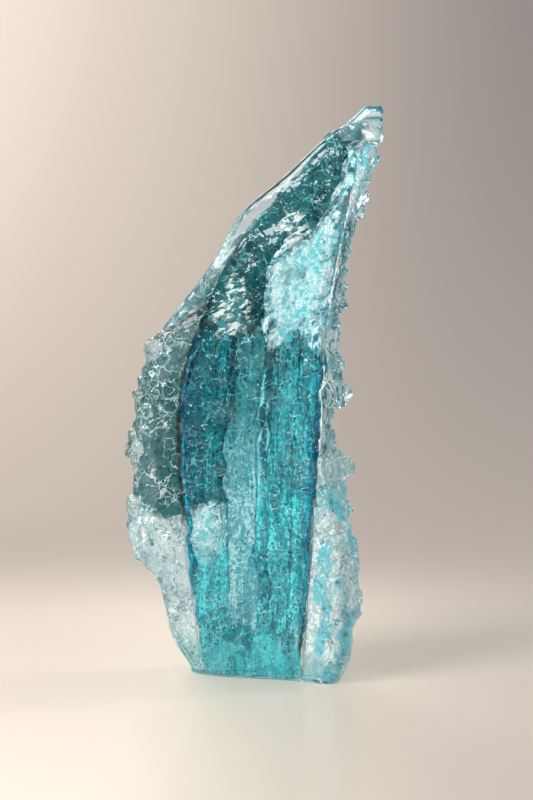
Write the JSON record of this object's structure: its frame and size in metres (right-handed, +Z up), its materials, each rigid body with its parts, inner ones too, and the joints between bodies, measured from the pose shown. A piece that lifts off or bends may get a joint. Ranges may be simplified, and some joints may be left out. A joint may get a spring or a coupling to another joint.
{
  "type": "glass wave sculpture",
  "caption": "Free-standing glass sculpture: a thick clear blade that waves up to a leaning peak, with crackled beaded edges and a striped turquoise core fused inside.",
  "frame": {"origin": "on the floor plane, at the middle of the foot's flat face", "axes": "+Z up, +X to the viewer's right along the blade, +Y away from the viewer"},
  "size_m": [0.1862, 0.0625, 0.4],
  "materials": {
    "clear_glass": "clear, hammered and crackled, fire polished on the rim",
    "turquoise_glass": "transparent turquoise with streaks, specks and fine bubbles",
    "pale_turquoise_glass": "pale turquoise with white veins",
    "deep_teal_glass": "dark transparent teal",
    "blue_glass": "vivid blue, thin",
    "white_frit": "white opal grains"
  },
  "bodies": {
    "root": {"front_casing": "clear_glass", "back_casing": "clear_glass", "crest_front_casing": "clear_glass", "crest_back_casing": "clear_glass", "left_flank": "clear_glass", "right_flank": "clear_glass", "polished_rim": "clear_glass", "crest_edge": "clear_glass", "crest_tip": "clear_glass", "foot_left_block": "clear_glass", "foot_right_block": "clear_glass", "shoulder_nugget": "clear_glass", "upper_right_lobe": "clear_glass", "lower_right_lobe": "clear_glass", "left_edge_chips": "clear_glass", "right_edge_chips": "clear_glass", "left_stave": "turquoise_glass", "centre_right_stave": "turquoise_glass", "right_stave": "turquoise_glass", "foot_core": "turquoise_glass", "centre_left_stave": "pale_turquoise_glass", "crest_right_core": "pale_turquoise_glass", "spine_bar": "deep_teal_glass", "crest_left_core": "deep_teal_glass", "deep_teal_veil": "deep_teal_glass", "left_blue_strip": "blue_glass", "right_blue_strip": "blue_glass", "foam_frit": "white_frit", "frost_frit": "white_frit"}
  },
  "joints": []
}
